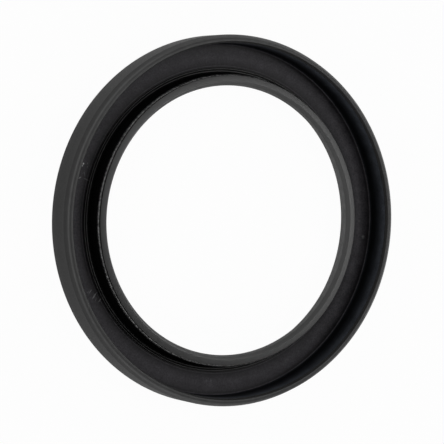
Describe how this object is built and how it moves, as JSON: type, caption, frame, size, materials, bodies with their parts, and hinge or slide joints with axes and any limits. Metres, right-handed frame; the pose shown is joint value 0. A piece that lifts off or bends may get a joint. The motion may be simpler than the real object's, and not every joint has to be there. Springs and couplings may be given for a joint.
{
  "type": "radial shaft seal",
  "caption": "Rubber-covered radial shaft seal: an L-section steel case carries a spring-loaded sealing lip and a dust lip that close on a turning shaft.",
  "frame": {"origin": "centre of the air-side face, on the axis of the seal", "axes": "+Z along the axis, from the air side to the oil side; the seal is round, so X and Y are free"},
  "size_m": [0.12, 0.12, 0.012],
  "materials": {
    "coated_steel": "thin dark bonding coat on pressed steel, satin",
    "rubber": "moulded black nitrile rubber, satin",
    "spring_steel": "drawn spring wire, slightly oily"
  },
  "bodies": {
    "root": {"steel_case": "coated_steel", "rubber_body": "rubber", "garter_spring": "spring_steel"}
  },
  "joints": []
}
